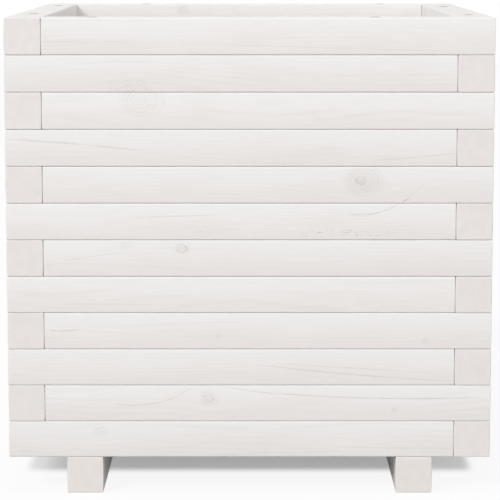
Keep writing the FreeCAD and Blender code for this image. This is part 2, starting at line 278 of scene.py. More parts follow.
class FastenerSizes(bpy.types.PropertyGroup):
    """Sizes and places of the screws and dowels."""

    head_diameter: FloatProperty(
        name="Head", description="Head of a wall or foot screw", default=8.0 * MM, unit="LENGTH")
    shank_diameter: FloatProperty(
        name="Shank", description="Shank of a wall or foot screw", default=4.0 * MM, unit="LENGTH")
    slat_head_diameter: FloatProperty(
        name="Slat screw head", description="Head of a slat screw", default=7.0 * MM, unit="LENGTH")
    slat_shank_diameter: FloatProperty(
        name="Slat screw shank", description="Shank of a slat screw", default=3.5 * MM,
        unit="LENGTH")
    head_sink: FloatProperty(
        name="Head sink", description="Screw head below the face of the timber",
        default=0.5 * MM, unit="LENGTH")
    wall_screw_length: FloatProperty(
        name="Wall screw length", description="Length of a wall or foot screw",
        default=49.5 * MM, unit="LENGTH")
    slat_screw_length: FloatProperty(
        name="Slat screw length", description="Length of a slat screw", default=29.5 * MM,
        unit="LENGTH")
    butt: FloatProperty(
        name="Screw butt", description="Butt end of a beam to its nearer screw",
        default=40.0 * MM, unit="LENGTH")
    stagger: FloatProperty(
        name="Screw stagger", description="Screws of one course to those of the next",
        default=26.0 * MM, unit="LENGTH")
    pilot_depth: FloatProperty(
        name="Pilot depth", description="Depth of the hole that a wall or foot screw bites into",
        default=20.5 * MM, unit="LENGTH")
    slat_pilot_depth: FloatProperty(
        name="Slat pilot depth", description="Depth of the hole that a slat screw bites into",
        default=15.5 * MM, unit="LENGTH")
    foot_spread: FloatProperty(
        name="Foot screw spread", description="Between the two screws at one end of a foot rail",
        default=15.0 * MM, unit="LENGTH")
    thread_pitch: FloatProperty(
        name="Thread pitch", description="Rise of a screw thread in one turn",
        default=2.0 * MM, unit="LENGTH")
    dowel_diameter: FloatProperty(
        name="Dowel", description="Diameter of a corner dowel", default=8.0 * MM, unit="LENGTH")
    dowel_length: FloatProperty(
        name="Dowel length", description="Length of a corner dowel", default=20.0 * MM,
        unit="LENGTH")


class FinishColours(bpy.types.PropertyGroup):
    """Colours of the whitewashed pine and of the fasteners."""

    # Painted light and shade: the upper wash colour is lighter and cooler, the lower one darker and
    # warmer. A board is coloured from one to the other by its height, so its top face takes the
    # lighter one and its bottom face the darker one.
    wash_painted_light: FloatVectorProperty(
        name="Wash, painted light at the top", description="Lighter wash as painted light, towards a board's top and on its top face",
        subtype="COLOR", size=3, default=display_colour(242.4, 240.4, 238.8), min=0.0, max=1.0)
    wash_painted_shade: FloatVectorProperty(
        name="Wash, painted shade low down", description="Darker, warmer wash as painted shade, low on a board and on its bottom face",
        subtype="COLOR", size=3, default=display_colour(237.6, 232.8, 231.0), min=0.0, max=1.0)
    end_grain: FloatVectorProperty(
        name="End grain", description="Cut ends, which soak the wash up",
        subtype="COLOR", size=3, default=display_colour(236, 230.5, 227.5), min=0.0, max=1.0)
    late_wood: FloatVectorProperty(
        name="Late wood", description="The darker line of each growth ring",
        subtype="COLOR", size=3, default=display_colour(206, 194, 186), min=0.0, max=1.0)
    # Painted shade: the holes' own unwashed pine is made much darker here, standing in for the
    # shade inside the holes.
    bare_and_painted_shade: FloatVectorProperty(
        name="Bare pine in painted shade", description="Inside the screw holes: unwashed pine, darkened as painted shade of the hole",
        subtype="COLOR", size=3, default=display_colour(124, 104, 88), min=0.0, max=1.0)
    knot: FloatVectorProperty(
        name="Knot", description="Knots and resin streaks under the wash",
        subtype="COLOR", size=3, default=display_colour(150, 128, 114), min=0.0, max=1.0)
    steel: FloatVectorProperty(
        name="Steel", description="Zinc plated screws", subtype="COLOR", size=3,
        default=display_colour(172, 172, 170), min=0.0, max=1.0)
    beech: FloatVectorProperty(
        name="Beech", description="Corner dowels", subtype="COLOR", size=3,
        default=display_colour(214, 180, 140), min=0.0, max=1.0)


class StudioSettings(bpy.types.PropertyGroup):
    """Camera, lamps and surroundings."""

    camera_distance: FloatProperty(
        name="Camera distance", description="Camera to the front of the planter",
        default=1.700, unit="LENGTH")
    camera_height: FloatProperty(
        name="Camera height", description="Camera above the floor", default=0.4499, unit="LENGTH")
    camera_tilt: FloatProperty(
        name="Camera tilt", description="How far the camera looks down",
        default=math.radians(7.08), subtype="ANGLE")
    lens: FloatProperty(name="Lens", description="Focal length in millimetres", default=152.34)
    shift: FloatProperty(
        name="Camera shift", description="How far the picture lies below the lens axis",
        default=-0.09)
    sky: FloatProperty(
        name="Sky", description="Light from all around", default=0.94, min=0.0)
    sky_overhead: FloatProperty(
        name="Sky overhead", description="Light from straight above", default=0.46, min=0.0)
    key: FloatProperty(
        name="Key lamp", description="Power of the lamp up at the front left", default=640.0,
        min=0.0, unit="POWER")
    fill: FloatProperty(
        name="Fill lamp", description="Power of the low lamp in front", default=34.0,
        min=0.0, unit="POWER")
    floor_show: FloatProperty(
        name="Floor shadow", description="How strongly the floor shows the planter's shadow",
        default=0.10, min=0.0, max=1.0)
    shade_below: FloatProperty(
        name="Shade below", description="How strongly the floor under the walls shows its shade",
        default=0.66, min=0.0, max=1.0)
    floor_grey: FloatProperty(
        name="Floor bounce", description="How much light the floor throws back",
        default=0.30, min=0.0, max=1.0)


def is_vector(source):
    """Whether a source for a node is a vector."""
    if isinstance(source, Value):
        return source.socket.type == "VECTOR"
    return isinstance(source, tuple)


class Value:
    """What a node gives out. Arithmetic with it adds the nodes that work the result out."""

    def __init__(self, wiring, socket):
        self.wiring = wiring
        self.socket = socket

    def __add__(self, other):
        return self.wiring.work("ADD", self, other)

    def __sub__(self, other):
        return self.wiring.work("SUBTRACT", self, other)

    def __rsub__(self, other):
        return self.wiring.work("SUBTRACT", other, self)

    def __mul__(self, other):
        if is_vector(self) and not is_vector(other):
            inputs = {0: self, "Scale": other}
            return self.wiring.add("ShaderNodeVectorMath", inputs, operation="SCALE")
        return self.wiring.work("MULTIPLY", self, other)

    def __truediv__(self, other):
        return self.wiring.work("DIVIDE", self, other)

    def __rtruediv__(self, other):
        return self.wiring.work("DIVIDE", other, self)

    def squared(self):
        return self * self

    def split(self):
        """The three numbers of a vector."""
        node = self.wiring.node("ShaderNodeSeparateXYZ", {0: self})
        return [Value(self.wiring, socket) for socket in node.outputs]

    def fade(self, start, end, low=0.0, high=1.0):
        """A smooth change from low to high while this value goes from start to end."""
        inputs = {"Value": self, 1: start, 2: end, 3: low, 4: high}
        return self.wiring.add("ShaderNodeMapRange", inputs, interpolation_type="SMOOTHSTEP")

    def noise(self, scale=1.0, detail=2.0):
        """Soft random numbers around a half, at this place."""
        inputs = {"Vector": self, "Scale": scale, "Detail": detail}
        return self.wiring.add("ShaderNodeTexNoise", inputs)


class Wiring:
    """Adds nodes to one node tree. A source is another node's value or a plain one."""

    def __init__(self, tree):
        self.tree = tree

    def feed(self, socket, source):
        """Gives a node's input its source."""
        if isinstance(source, Value):
            self.tree.links.new(source.socket, socket)
        else:
            socket.default_value = source

    def node(self, kind, inputs, **settings):
        """One node with its settings, fed from the sources given by input name or number."""
        node = self.tree.nodes.new(kind)
        for name, setting in settings.items():
            setattr(node, name, setting)
        for key, source in inputs.items():
            self.feed(node.inputs[key], source)
        return node

    def add(self, kind, inputs=None, output=0, **settings):
        """What a new node gives out, at its first output as a rule."""
        node = self.node(kind, inputs or {}, **settings)
        return Value(self, node.outputs[output])

    def work(self, operation, *sources):
        """The result of an operation, on vectors where a source is one."""
        vectors = any(is_vector(source) for source in sources)
        kind = "ShaderNodeVectorMath" if vectors else "ShaderNodeMath"
        output = "Value" if operation == "LENGTH" else 0
        return self.add(kind, dict(enumerate(sources)), output, operation=operation)

    def join(self, x, y, z):
        return self.add("ShaderNodeCombineXYZ", {0: x, 1: y, 2: z})

    def blend(self, share, first, second, way="MIX"):
        """Two colours mixed by the share."""
        inputs = {0: share, 6: first, 7: second}
        return self.add("ShaderNodeMix", inputs, 2, data_type="RGBA", blend_type=way)

    def shaded(self, base, shade):
        """A colour times a number."""
        return self.blend(1.0, base, self.join(shade, shade, shade), "MULTIPLY")

    def number(self, name):
        """A number that the mesh carries at each of its points."""
        return self.add("ShaderNodeAttribute", output="Fac", attribute_name=name)

    def vector(self, name):
        """A vector that the mesh carries at each of its points."""
        return self.add("ShaderNodeAttribute", output="Vector", attribute_name=name)


def new_geometry_tree(name, inputs):
    """An empty geometry tree with named inputs. Gives its wiring and its inputs' values."""
    tree = bpy.data.node_groups.new(name, "GeometryNodeTree")
    tree.interface.new_socket("Geometry", in_out="INPUT", socket_type="NodeSocketGeometry")
    for label, kind in inputs.items():
        tree.interface.new_socket(label, in_out="INPUT", socket_type=f"NodeSocket{kind}")
    tree.interface.new_socket("Geometry", in_out="OUTPUT", socket_type="NodeSocketGeometry")
    entry = tree.nodes.new("NodeGroupInput")
    wiring = Wiring(tree)
    return wiring, {socket.name: Value(wiring, socket) for socket in entry.outputs}


def close_geometry_tree(wiring, geometry, material):
    """Ends a tree in real geometry with its material."""
    real = wiring.add("GeometryNodeRealizeInstances", {0: geometry})
    dressed = wiring.add("GeometryNodeSetMaterial", {0: real, "Material": material})
    wiring.node("NodeGroupOutput", {0: dressed})
    return wiring.tree


def stored(wiring, name):
    """A number of the points that a geometry tree is working on."""
    return wiring.add("GeometryNodeInputNamedAttribute", {"Name": name}, data_type="FLOAT")


def store(wiring, geometry, name, value, domain="POINT"):
    """Keeps a value at each point or face of the mesh, for its material to read."""
    kind = "FLOAT_VECTOR" if is_vector(value) else "FLOAT"
    inputs = {"Geometry": geometry, "Name": name, "Value": value}
    return wiring.add("GeometryNodeStoreNamedAttribute", inputs, data_type=kind, domain=domain)


def moved(wiring, geometry, **inputs):
    """A shape moved or turned as a whole."""
    return wiring.add("GeometryNodeTransform", {0: geometry, **inputs})


def reshaped(wiring, geometry, **inputs):
    """A shape whose points each go to a place of their own."""
    return wiring.add("GeometryNodeSetPosition", {0: geometry, **inputs})


def scattered(wiring, points, shape, **inputs):
    """The shape once at every point."""
    inputs = {"Points": points, "Instance": shape, **inputs}
    return wiring.add("GeometryNodeInstanceOnPoints", inputs)


def turned(wiring, x, z):
    """A turn about two axes."""
    return wiring.add("FunctionNodeEulerToRotation", {0: wiring.join(x, 0.0, z)})


def flipped(wiring):
    """Half a turn at the points that face down."""
    return stored(wiring, "facing").fade(UP, DOWN, 0.0, math.pi)


def without(wiring, solid, cutter):
    """A solid less what the cutter takes away."""
    inputs = {"Mesh 1": solid, "Mesh 2": cutter}
    return wiring.add("GeometryNodeMeshBoolean", inputs, operation="DIFFERENCE",
                      solver="MANIFOLD")


def circle(wiring, sides, radius=1.0):
    return wiring.add("GeometryNodeCurvePrimitiveCircle", {"Resolution": sides, "Radius": radius})


def smooth_by_angle(wiring, geometry):
    """Smooth shading over gentle bends, with a crisp line at hard edges."""
    smooth = wiring.add("GeometryNodeSetShadeSmooth", {0: geometry, "Shade Smooth": True},
                        domain="FACE")
    hard = wiring.work("GREATER_THAN", wiring.add("GeometryNodeInputMeshEdgeAngle"), SHARP_ANGLE)
    return wiring.add("GeometryNodeSetShadeSmooth",
                      {0: smooth, "Selection": hard, "Shade Smooth": False}, domain="EDGE")


def crowd_edges(wiring, place, half, cells, zone):
    """Moves the outer rows of cells along one axis into the zone of the eased edge."""
    share = place / half
    size = wiring.work("ABSOLUTE", share)
    edge_share = 2.0 * EDGE_CELLS / cells
    inner = size / (1.0 - edge_share) * (half - zone)
    outer = half - (1.0 - size) / edge_share * zone
    return wiring.work("SIGN", share) * wiring.work("MINIMUM", inner, outer)


def rounded_block(wiring, size, cells, radius):
    """A block of that size in rows of cells, its edges eased by the radius along each axis."""
    counts = zip(("Vertices X", "Vertices Y", "Vertices Z"), (count + 1.0 for count in cells))
    block = wiring.add("GeometryNodeMeshCube", {"Size": size, **dict(counts)})
    place = wiring.add("GeometryNodeInputPosition")
    half = size * 0.5
    zone = radius * EDGE_ZONE_IN_RADII
    axes = zip(place.split(), half.split(), cells, zone.split())
    crowded = wiring.join(*(crowd_edges(wiring, *axis) for axis in axes))
    inner = half - radius
    limited = wiring.work("MINIMUM", crowded, inner)
    limited = wiring.work("MAXIMUM", limited, inner * -1.0)
    outward = wiring.work("NORMALIZE", (crowded - limited) / radius)
    return reshaped(wiring, block, Position=limited + outward * radius)


def cut_holes(wiring, timber, points):
    """Bores a hole at every point, and sinks a cone at those that take a screw head.

    The faces that this leaves are marked as unwashed pine, which the material darkens as painted
    shade.
    """
    turn = turned(wiring, flipped(wiring), 0.0)
    bore, sink, depth = (stored(wiring, name) for name in ("bore", "sink", "depth"))
    reach = 1.0 + CUT_OVERRUN
    drill = wiring.add("GeometryNodeMeshCylinder",
                       {"Vertices": BORE_SIDES, "Radius": 1.0, "Depth": reach})
    drill = moved(wiring, drill, Translation=(0.0, 0.0, CUT_OVERRUN - reach / 2))
    cone = wiring.add("GeometryNodeMeshCone", {
        "Vertices": BORE_SIDES, "Radius Top": reach, "Radius Bottom": 0.0, "Depth": reach})
    cone = moved(wiring, cone, Translation=(0.0, 0.0, -1.0))
    tools = (
        (drill, wiring.join(bore, bore, depth), True),
        (cone, wiring.join(sink, sink, sink), wiring.work("GREATER_THAN", sink, 0.0)),
    )
    for tool, scale, chosen in tools:
        cutters = scattered(wiring, points, tool, Selection=chosen, Rotation=turn, Scale=scale)
        cutters = wiring.add("GeometryNodeRealizeInstances", {0: cutters})
        timber = without(wiring, timber, store(wiring, cutters, "bare_and_painted_shade", 1.0, domain="FACE"))
    return timber


def weather(wiring, timber, size, crown, unevenness, seed):
    """Crowns the side faces a little and leaves the planer's shallow waves in all of them."""
    place = wiring.add("GeometryNodeInputPosition")
    x, y, z = place.split()
    _, width, height = size.split()
    lost = crown / (width * 0.5) * (z / (height * 0.5)).squared()
    crowned = wiring.join(x, y * (1.0 - lost), z)
    waves = (place * WAVES + wiring.join(seed, seed, seed)).noise()
    sunk = wiring.add("GeometryNodeInputNormal") * (waves * unevenness * -1.0)
    return reshaped(wiring, timber, Position=crowned, Offset=sunk)


BOARD_MARKS = ("Knot A", "Knot B", "Streak A", "Streak B", "Bend A", "Bend B", "Specks",
               "Ring Tones", "Heart Tones")


def board_tree():
    """A planed board with its holes, carrying what its material needs to know at each point."""
    inputs = {
        "Size": "Vector", "Cells": "Vector", "Gaps": "Vector", "Edge Round": "Vector",
        "Crown": "Float", "Unevenness": "Float", "Seed": "Float", "Pith": "Vector",
        "Middle": "Vector", "Turn": "Float", "Wood": "Material",
    }
    inputs.update((mark, "Vector") for mark in BOARD_MARKS)
    wiring, given = new_geometry_tree("board", inputs)
    size = given["Size"] - given["Gaps"]
    timber = rounded_block(wiring, size, given["Cells"].split(), given["Edge Round"])
    timber = moved(wiring, timber, Translation=given["Gaps"] * (-0.5, 0.0, 0.0))
    timber = cut_holes(wiring, timber, given["Geometry"])
    timber = weather(wiring, timber, size, given["Crown"], given["Unevenness"], given["Seed"])
    place = wiring.add("GeometryNodeInputPosition")
    normal = wiring.add("GeometryNodeInputNormal")
    facts = {"grain": place, "pith": given["Pith"]}
    facts.update((mark.lower().replace(" ", "_"), given[mark]) for mark in BOARD_MARKS)
    facts["end"] = wiring.work("ABSOLUTE", normal.split()[0])
    # Height share of each point in the board. The material turns it into painted light at the top
    # and painted shade low down.
    facts["rise"] = place.split()[2] / size.split()[2]
    facts["board"] = given["Seed"]
    for name, value in facts.items():
        timber = store(wiring, timber, name, value)
    timber = smooth_by_angle(wiring, timber)
    turn = turned(wiring, 0.0, given["Turn"])
    placed = moved(wiring, timber, Translation=given["Middle"], Rotation=turn)
    return close_geometry_tree(wiring, placed, given["Wood"])


def lathed(wiring, levels, radii, profile):
    """A turned solid: the profile at each level along Z, scaled to that radius."""
    count = len(levels)
    index = wiring.add("GeometryNodeInputIndex")
    line = wiring.add("GeometryNodeMeshLine", {"Count": count})
    chosen = []
    for values in (levels, radii):
        switch = wiring.node("GeometryNodeIndexSwitch", {}, data_type="FLOAT")
        while len(switch.index_switch_items) < count:
            switch.index_switch_items.new()
        for socket, value in zip(switch.inputs, (index, *values)):
            wiring.feed(socket, value)
        chosen.append(Value(wiring, switch.outputs[0]))
    level, radius = chosen
    upright = reshaped(wiring, line, Position=wiring.join(0.0, 0.0, level))
    return wiring.add("GeometryNodeCurveToMesh", {
        "Curve": wiring.add("GeometryNodeMeshToCurve", {0: upright}), "Profile Curve": profile,
        "Scale": radius, "Fill Caps": True})


def screw_blank(wiring, levels, radii):
    """The turned body of a screw, with the cross slot in its head."""
    blank = lathed(wiring, levels, radii, circle(wiring, SCREW_SIDES))
    for across in ((SLOT_LENGTH, SLOT_WIDTH), (SLOT_WIDTH, SLOT_LENGTH)):
        slot = wiring.add("GeometryNodeMeshCube", {"Size": (*across, SLOT_HEIGHT)})
        blank = without(wiring, blank, slot)
    return blank


def screw_thread(wiring, run, pitch, core, ridge):
    """A ridge that winds up round the core."""
    helix = wiring.add("GeometryNodeCurveSpiral", {
        "Resolution": THREAD_STEPS, "Rotations": run / pitch, "Start Radius": core,
        "End Radius": core, "Height": run})
    return wiring.add("GeometryNodeCurveToMesh", {
        "Curve": helix, "Profile Curve": circle(wiring, RIDGE_SIDES, ridge), "Fill Caps": True})


def screw_tree():
    """Countersunk wood screws, one at every point of the mesh, each turned as it was left."""
    wiring, given = new_geometry_tree("wood screws", {
        "Length": "Float", "Head Diameter": "Float", "Shank Diameter": "Float",
        "Thread Pitch": "Float", "Steel": "Material"})
    head = given["Head Diameter"] * 0.5
    shank = given["Shank Diameter"] * 0.5
    core = shank * CORE_SHARE
    whole = given["Length"]
    tip = given["Shank Diameter"] * TIP_IN_DIAMETERS
    thread_top = whole * -SMOOTH_SHARE
    levels = (0.0, shank - head, thread_top, thread_top - THREAD_START, tip - whole, whole * -1.0)
    blank = screw_blank(wiring, levels, (head, shank, shank, core, core, TIP_RADIUS))
    threaded_tip = tip * TIP_THREAD_SHARE
    run = thread_top + (whole - threaded_tip)
    thread = screw_thread(wiring, run, given["Thread Pitch"], core, shank * RIDGE_SHARE)
    low = wiring.join(0.0, 0.0, threaded_tip - whole)
    screw = wiring.node("GeometryNodeJoinGeometry", {0: blank})
    wiring.feed(screw.inputs[0], moved(wiring, thread, Translation=low))
    shaded = smooth_by_angle(wiring, Value(wiring, screw.outputs[0]))
    spin = wiring.add("FunctionNodeRandomValue", {2: 0.0, 3: QUARTER_TURN, "Seed": SPIN_SEED}, 1,
                      data_type="FLOAT")
    turn = turned(wiring, flipped(wiring), spin)
    screws = scattered(wiring, given["Geometry"], shaded, Rotation=turn)
    return close_geometry_tree(wiring, screws, given["Steel"])


def dowel_tree():
    """Fluted dowels, one at every point of the mesh."""
    wiring, given = new_geometry_tree("fluted dowels", {
        "Length": "Float", "Diameter": "Float", "Bevel": "Float", "Beech": "Material"})
    radius = given["Diameter"] * 0.5
    half = given["Length"] * 0.5
    point = wiring.add("GeometryNodeInputIndex")
    place = wiring.add("GeometryNodeInputPosition")
    flute = wiring.work("MODULO", point, FLUTE_EVERY).fade(0.0, 0.5, FLUTE_SHARE, 1.0)
    fluted = reshaped(wiring, circle(wiring, DOWEL_SIDES), Position=place * flute)
    shoulder = half - given["Bevel"]
    slim = radius - given["Bevel"]
    levels = (half, shoulder, shoulder * -1.0, half * -1.0)
    rod = lathed(wiring, levels, (slim, radius, radius, slim), fluted)
    dowels = scattered(wiring, given["Geometry"], smooth_by_angle(wiring, rod))
    return close_geometry_tree(wiring, dowels, given["Beech"])


def new_material(name):
    """A node material. Gives the material, its wiring and its surface's inputs."""
    material = bpy.data.materials.new(name)
    material.use_nodes = True
    wiring = Wiring(material.node_tree)
    return material, wiring, material.node_tree.nodes["Principled BSDF"].inputs


def add_relief(wiring, surface, height, share, depth):
    """Gives a surface the fine relief of that height."""
    inputs = {"Height": height, "Strength": share, "Distance": depth}
    wiring.feed(surface["Normal"], wiring.add("ShaderNodeBump", inputs))


def oval(aside, above, shape):
    """Square of the distance from the middle of an oval of that shape."""
    wide, high = shape
    return (aside * wide).squared() + (above * high).squared()


def knot_marks(wiring, along, up, wobble, broken, knot):
    """How a knot pushes the grain aside, and how much of its rings, heart and halo shows.

    Its rings lie closer together towards one side, as round a branch that grew upwards.
    """
    knot_along, knot_up, radius = knot.split()
    present = wiring.work("GREATER_THAN", radius, LEAST_KNOT)
    reach = wiring.work("MAXIMUM", radius, LEAST_KNOT)
    aside = (along - knot_along) / reach
    above = (up - knot_up) / reach
    near = wiring.work("EXPONENT", oval(aside, above, GRAIN_BEND) * -1.0) * present
    bent = up - near * above * reach * BEND_DEPTH
    lean = aside * LEAN_ALONG + above * LEAN_UP
    distance = wiring.work("SQRT", oval(aside, above, KNOT_OVAL)) + lean
    distance = distance + wobble * (RING_WANDER / reach)
    ring_count = reach.fade(SMALL_KNOT, LARGE_KNOT, *RING_COUNTS)
    rings = wiring.work("SINE", distance * ring_count).fade(0.35, 1.0)
    rings = rings * broken * distance.fade(1.2, 0.85) * present
    heart = distance.fade(0.36, 0.08) * broken * present
    halo = distance.fade(1.35, 0.5) * present
    return bent, rings, heart, halo


def streak_mark(wiring, along, up, ragged, side):
    """A thin dark line in the grain, with a slope and a curve."""
    middle, level, half = wiring.vector(f"streak_{side}").split()
    slope, curve, tone = wiring.vector(f"bend_{side}").split()
    run = along - middle
    line = level + slope * run + curve * run * run
    thin = wiring.work("EXPONENT", ((up - line) / STREAK_WIDTH).squared() * -1.0)
    reach = wiring.work("ABSOLUTE", run) / wiring.work("MAXIMUM", half, MM)
    return thin * reach.fade(1.05, 0.6) * tone * ragged.fade(0.3, 0.6, 0.35, 1.0)


def speck_marks(wiring, along, up, drawn):
    """Small dark specks, scattered over a long oval."""
    middle, level, half = wiring.vector("specks").split()
    aside = (along - middle) / wiring.work("MAXIMUM", half, MM)
    above = (up - level) / SPECK_RISE
    distance = aside.squared() + above.squared()
    return (drawn * FLECKS).noise().fade(0.60, 0.68) * distance.fade(1.2, 0.5)


def cut_end(wiring, colours, drawn, late_patches):
    """The mottled tone of a board's cut end. Gives the mottle too, for its relief."""
    mottle = (drawn * MOTTLE).noise(detail=4.0)
    pores = (drawn * PORES).noise()
    cut = mottle.fade(0.3, 0.72, 0.977, 1.012) * pores.fade(0.25, 0.6, 0.985, 1.004)
    cut = cut * (1.0 - late_patches * END_RING_SHARE)
    return wiring.shaded((*colours.end_grain, 1.0), cut), mottle


def pine_material(name, colours, ring_spacing, warmth):
    """Whitewashed pine, following the grain of the board that it is on."""
    material, wiring, surface = new_material(name)
    grain = wiring.vector("grain")
    board = wiring.number("board")
    end = wiring.number("end")
    along, across, up = grain.split()
    drawn = grain + wiring.join(*BOARD_SHIFT) * board
    wobble = drawn.noise(WOBBLE, detail=4.0) - 0.5
    broken = drawn.noise(CRUMBS).fade(0.35, 0.6, 0.3) * drawn.noise(LUMPS).fade(0.4, 0.58, 0.25)
    ragged = (drawn * RAGGED).noise()

    bent = up
    marks = []
    ring_tones = wiring.vector("ring_tones").split()
    heart_tones = wiring.vector("heart_tones").split()
    for knot, ring_tone, heart_tone in zip(("knot_a", "knot_b"), ring_tones, heart_tones):
        bent, rings, heart, halo = knot_marks(wiring, along, bent, wobble, broken,
                                              wiring.vector(knot))
        tone = wiring.work("MAXIMUM", ring_tone, heart_tone)
        marks.append((rings * ring_tone, heart * heart_tone, halo * tone))
    knot_rings, knot_hearts, knot_halos = (first + second for first, second in zip(*marks))
    streaks = (streak_mark(wiring, along, bent, ragged, "a")
               + streak_mark(wiring, along, bent, ragged, "b"))
    specks = speck_marks(wiring, along, up, drawn) * ring_tones[2]

    _, pith_across, pith_up = wiring.vector("pith").split()
    from_pith = wiring.join(0.0, across - pith_across, bent - pith_up)
    sway = (drawn * SWAY).noise(detail=1.0)
    growth = wiring.work("LENGTH", from_pith) + sway * SWAY_DEPTH
    saw = wiring.work("FRACT", growth / ring_spacing)
    late = saw.fade(0.45, 0.92) * saw.fade(1.0, 0.93)
    patchy = (drawn * PATCHES).noise()
    late_share = late * patchy.fade(0.40, 0.72, 0.02, 0.10)

    fibre = (drawn * FIBRES).noise(detail=3.0)
    cloud = (drawn * CLOUDS).noise()
    # Painted light and shade: each board goes from the lighter wash at its top to the darker wash
    # low down. Top faces take the lighter one and bottom faces the darker one. Cloud and fibre
    # noise mix in the wood's own random tone.
    high = wiring.number("rise") + (cloud - 0.5) * 0.9 + (fibre - 0.5) * 0.25
    base = wiring.blend(high.fade(-0.5, 0.5), (*colours.wash_painted_shade, 1.0), (*colours.wash_painted_light, 1.0))
    base = wiring.blend(late_share, base, (*colours.late_wood, 1.0))
    own = wiring.add("ShaderNodeTexWhiteNoise", {"W": board}, noise_dimensions="1D")
    tone = fibre.fade(0.25, 0.75, 0.980, 1.006) * (own * TONE_SPREAD + LEAST_TONE)
    base = wiring.shaded(base, tone)

    dark = (knot_rings * RING_SHARE + knot_hearts * HEART_SHARE + knot_halos * HALO_SHARE
            + streaks * STREAK_SHARE + specks * SPECK_SHARE)
    base = wiring.blend(wiring.work("MINIMUM", dark, DARKEST), base, (*colours.knot, 1.0))
    cut_colour, mottle = cut_end(wiring, colours, drawn, late * patchy)
    base = wiring.blend(end.fade(0.35, 0.95), base, cut_colour)
    # Painted shade: the hole faces take the dark unwashed-pine colour, darker than bare pine, for
    # the shade inside the holes.
    base = wiring.blend(wiring.number("bare_and_painted_shade"), base, (*colours.bare_and_painted_shade, 1.0))
    wiring.feed(surface["Base Color"], wiring.blend(1.0, base, (*warmth, 1.0), "MULTIPLY"))

    wiring.feed(surface["Roughness"], (fibre + late_share).fade(0.3, 0.8, 0.55, 0.72))
    surface["Specular IOR Level"].default_value = 0.35
    relief = (fibre * 0.5 + late_share * 0.8 + streaks * -0.6 + specks * -0.9
              + knot_rings * 0.5 + end * mottle * 0.6)
    add_relief(wiring, surface, relief, 0.35, WOOD_RELIEF)
    return material


def steel_material(colours):
    """Zinc plated steel with fine tool marks and a little wash left on it."""
    material, wiring, surface = new_material("zinc plated steel")
    place = wiring.add("ShaderNodeTexCoord", output="Object")
    cloud = place.noise(DULL_PATCHES, detail=3.0)
    tone = wiring.shaded((*colours.steel, 1.0), cloud.fade(0.3, 0.75, 0.78, 1.06))
    wiring.feed(surface["Base Color"], tone)
    surface["Metallic"].default_value = 0.85
    wiring.feed(surface["Roughness"], cloud.fade(0.3, 0.7, 0.32, 0.55))
    add_relief(wiring, surface, place.noise(TOOL_MARKS), 0.2, STEEL_RELIEF)
    return material


def beech_material(colours):
    """Plain beech with its small flecks, for the dowels."""
    material, wiring, surface = new_material("beech")
    place = wiring.add("ShaderNodeTexCoord", output="Object")
    fleck = (place * BEECH_FLECKS).noise()
    tone = wiring.shaded((*colours.beech, 1.0), fleck.fade(0.35, 0.7, 1.03, 0.82))
    wiring.feed(surface["Base Color"], tone)
    surface["Roughness"].default_value = 0.6
    add_relief(wiring, surface, fleck, 0.3, BEECH_RELIEF)
    return material


class Hole:
    """A hole in a board: along from its start, aside from its middle, and the face it is in."""

    def __init__(self, along, bore, depth, aside=0.0, facing=UP, sink=0.0):
        self.along = along
        self.aside = aside
        self.facing = facing
        self.bore = bore
        self.sink = sink
        self.depth = depth


class Board:
    """One board: the solid it stands for, how it lies, and what is in its wood."""

    def __init__(self, node, size, turn, holes, gaps=(0.0, 0.0, 0.0), crowned=True):
        self.node = node
        self.size = size
        self.turn = turn
        self.holes = holes
        self.gaps = gaps
        self.crowned = crowned
        self.marks = None

    def own_place(self, across, up):
        """Where a place, in millimetres, lies along this board and up from its middle."""
        middle = node_middle(self.node)
        return (across * MM - middle.x) * math.cos(self.turn), up * MM - middle.z

    def hole_points(self):
        """The middles of the holes in its faces, as loose points that carry the holes' sizes."""
        places = [(hole.along - self.size.x / 2, hole.aside, hole.facing * self.size.z / 2)
                  for hole in self.holes]
        facts = {fact: [float(getattr(hole, fact)) for hole in self.holes]
                 for fact in ("bore", "sink", "depth", "facing")}
        return point_mesh(self.node, places, facts)


def point_mesh(name, places, facts):
    """A mesh of loose points that carry numbers for a geometry tree."""
    mesh = bpy.data.meshes.new(name)
    mesh.from_pydata(places, [], [])
    for fact, values in facts.items():
        mesh.attributes.new(fact, "FLOAT", "POINT").data.foreach_set("value", values)
    return mesh


def grow(name, mesh, tree, inputs):
    """An object whose mesh a geometry tree makes from the points."""
    piece = bpy.data.objects.new(name, mesh)
    bpy.context.scene.collection.objects.link(piece)
    modifier = piece.modifiers.new("made", "NODES")
    modifier.node_group = tree
    sockets = {item.name: item.identifier for item in tree.interface.items_tree
               if item.item_type == "SOCKET" and item.in_out == "INPUT"}
    for label, value in inputs.items():
        modifier[sockets[label]] = value
    return piece


def settle(pieces):
    """Turns grown objects into plain meshes that stand for their solids."""
    depsgraph = bpy.context.evaluated_depsgraph_get()
    meshes = {piece: bpy.data.meshes.new_from_object(
        piece.evaluated_get(depsgraph), preserve_all_data_layers=True, depsgraph=depsgraph)
        for piece in pieces}
    for piece, node in pieces.items():
        piece.modifiers.clear()
        piece.data = meshes[piece]
        piece.data.name = piece.name
        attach(piece, BODY)
        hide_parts(node)


def own_marks(board, table):
    """The marks of one front or back beam, in metres along the board and up from its middle."""
    heading = math.cos(board.turn)
    knots = [(*board.own_place(across, up), radius * MM, rings, heart)
             for across, up, radius, rings, heart in table.get("knots", ())]
    streaks = [(*board.own_place(across, up), half * MM, slope * heading, curve, tone)
               for across, up, half, slope, curve, tone in table.get("streaks", ())]
    specks = None
    if "specks" in table:
        across, up, half, tone = table["specks"]
        specks = (*board.own_place(across, up), half * MM, tone)
    return {"knots": knots, "streaks": streaks, "specks": specks}


